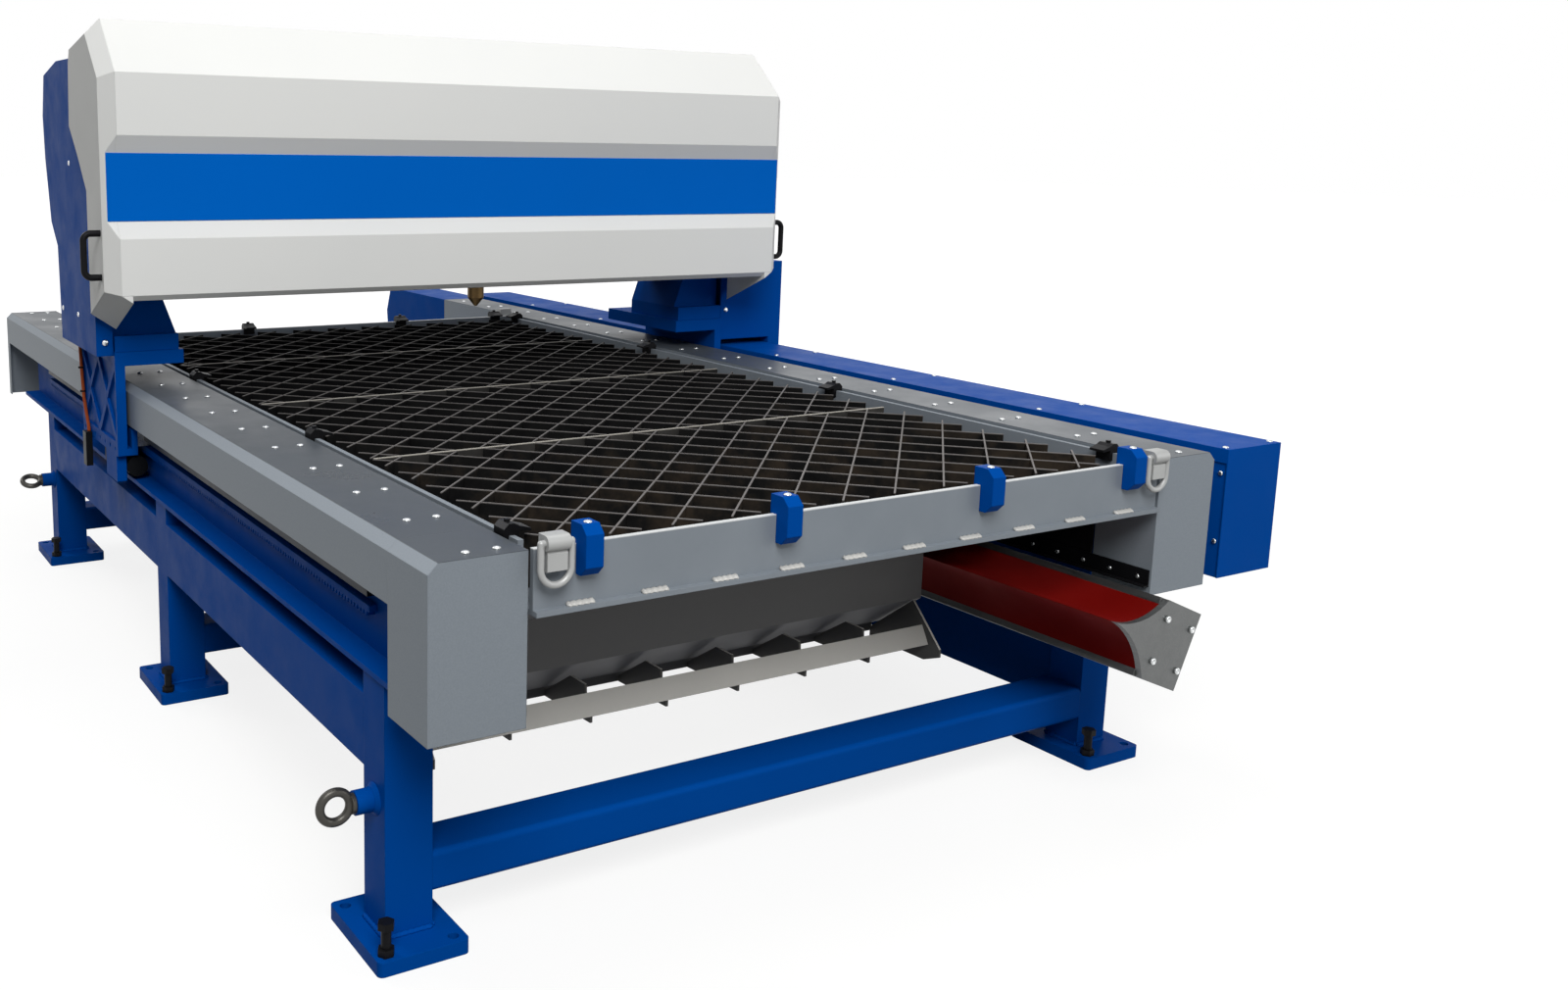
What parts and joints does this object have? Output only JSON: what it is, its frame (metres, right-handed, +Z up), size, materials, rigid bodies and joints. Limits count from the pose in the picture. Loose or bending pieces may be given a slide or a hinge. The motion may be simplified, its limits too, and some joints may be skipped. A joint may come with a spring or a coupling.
{
  "type": "cnc plasma cutting table",
  "caption": "Floor-standing plasma cutting table: welded frame, diagonal slat grate over a slag hopper, rack-driven gantry with hinged hood and a torch on a cross slide.",
  "frame": {"origin": "on the floor, at the centre of the anchor hole pattern of the four corner feet, midway between the two middle legs", "axes": "+X to the right across the table seen from the front, +Y to the rear along the table, +Z up"},
  "size_m": [2.5353, 4.539, 1.848],
  "materials": {
    "blue_paint": "semi-gloss blue coat",
    "grey_paint": "satin grey coat",
    "anthracite_paint": "matt dark grey coat",
    "bare_steel": "bare ground steel",
    "slat_steel": "cut sheet steel with light rust",
    "black_steel": "black oxide",
    "black_motor": "black coated housing",
    "black_plastic": "moulded black",
    "orange_cable": "smooth cable sheath",
    "rail_aluminium": "extruded, matt",
    "red_rubber": "matt rubber",
    "white_paint": "gloss white coat",
    "white_plastic": "moulded white"
  },
  "bodies": {
    "table": {"legs": "blue_paint", "foot_plates": "blue_paint", "cross_tubes": "blue_paint", "lower_side_beams": "blue_paint", "upper_side_beams": "blue_paint", "levelling_screws": "black_steel", "lock_nuts": "black_steel", "eye_bolts": "black_steel", "support_ledges": "blue_paint", "guide_rails": "bare_steel", "racks": "slat_steel", "guards": "grey_paint", "guard_spacers": "grey_paint", "guard_end_boxes": "grey_paint", "channel_tray": "blue_paint", "channel_lid": "blue_paint", "channel_brackets": "blue_paint", "junction_box": "blue_paint", "front_plate": "grey_paint", "rear_plate": "grey_paint", "side_bars": "bare_steel", "section_bars_set": "bare_steel", "slats_1": "slat_steel", "slats_2": "slat_steel", "slats_3": "slat_steel", "slats_4": "slat_steel", "edge_hooks": "blue_paint", "sheet_clamps": "black_steel", "ring_brackets": "grey_paint", "hopper": "anthracite_paint", "section_partitions": "anthracite_paint", "ladder_frame": "grey_paint", "suction_rail": "rail_aluminium", "suction_lips": "red_rubber", "suction_end_plates": "rail_aluminium", "side_skirts": "black_steel"},
    "gantry": {"carriages": "blue_paint", "bearing_blocks": "bare_steel", "pedestals": "blue_paint", "gear_motors": "black_motor", "gantry_beam": "blue_paint", "side_covers": "blue_paint", "limit_switch": "black_plastic", "limit_cable": "orange_cable", "cross_rails": "bare_steel", "cross_rack": "slat_steel"},
    "left_pinion": {"pinion_left": "bare_steel"},
    "right_pinion": {"pinion_right": "bare_steel"},
    "hood": {"hood_shell": "white_paint", "hood_band": "blue_paint", "hood_ends": "white_plastic", "hood_handles": "black_plastic"},
    "head": {"head_carriage": "rail_aluminium", "head_motor": "black_motor"},
    "head_pinion": {"cross_pinion": "bare_steel"},
    "torch": {"torch_unit": "rail_aluminium"},
    "front_left_ring": {"ring_front_left": "bare_steel"},
    "front_right_ring": {"ring_front_right": "bare_steel"},
    "rear_left_ring": {"ring_rear_left": "bare_steel"},
    "rear_right_ring": {"ring_rear_right": "bare_steel"}
  },
  "joints": [
    {"name": "gantry_travel", "type": "slide", "parent": "table", "child": "gantry", "axis": [0, 1, 0], "range_m": [-1.8, 1.08]},
    {"name": "left_pinion_spin", "type": "hinge", "parent": "gantry", "child": "left_pinion", "pos_m": [-0.978, 0.472, 0.5929], "axis": [1, 0, 0], "range_deg": [-2950, 1770]},
    {"name": "right_pinion_spin", "type": "hinge", "parent": "gantry", "child": "right_pinion", "pos_m": [0.978, 0.472, 0.5929], "axis": [1, 0, 0], "range_deg": [-2950, 1770]},
    {"name": "hood_pivot", "type": "hinge", "parent": "gantry", "child": "hood", "pos_m": [0, 0.338, 1.7], "axis": [-1, 0, 0], "range_deg": [0, 45]},
    {"name": "head_travel", "type": "slide", "parent": "gantry", "child": "head", "axis": [1, 0, 0], "range_m": [-0.8, 0.68]},
    {"name": "head_pinion_spin", "type": "hinge", "parent": "head", "child": "head_pinion", "pos_m": [0.1458, 0.285, 1.245], "axis": [0, 1, 0], "range_deg": [-1440, 1225]},
    {"name": "torch_lift", "type": "slide", "parent": "head", "child": "torch", "axis": [0, 0, 1], "range_m": [-0.18, 0.02]},
    {"name": "front_left_ring_swing", "type": "hinge", "parent": "table", "child": "front_left_ring", "pos_m": [-0.797, -1.784, 0.848], "axis": [-1, 0, 0], "range_deg": [0, 150]},
    {"name": "front_right_ring_swing", "type": "hinge", "parent": "table", "child": "front_right_ring", "pos_m": [0.797, -1.784, 0.848], "axis": [-1, 0, 0], "range_deg": [0, 150]},
    {"name": "rear_left_ring_swing", "type": "hinge", "parent": "table", "child": "rear_left_ring", "pos_m": [-0.797, 1.362, 0.848], "axis": [1, 0, 0], "range_deg": [0, 150]},
    {"name": "rear_right_ring_swing", "type": "hinge", "parent": "table", "child": "rear_right_ring", "pos_m": [0.797, 1.362, 0.848], "axis": [1, 0, 0], "range_deg": [0, 150]}
  ],
  "couplings": [
    {"joint": "left_pinion_spin", "follows": "gantry_travel", "rad_per_m": 28.571},
    {"joint": "right_pinion_spin", "follows": "gantry_travel", "rad_per_m": 28.571},
    {"joint": "head_pinion_spin", "follows": "head_travel", "rad_per_m": 31.25}
  ]
}
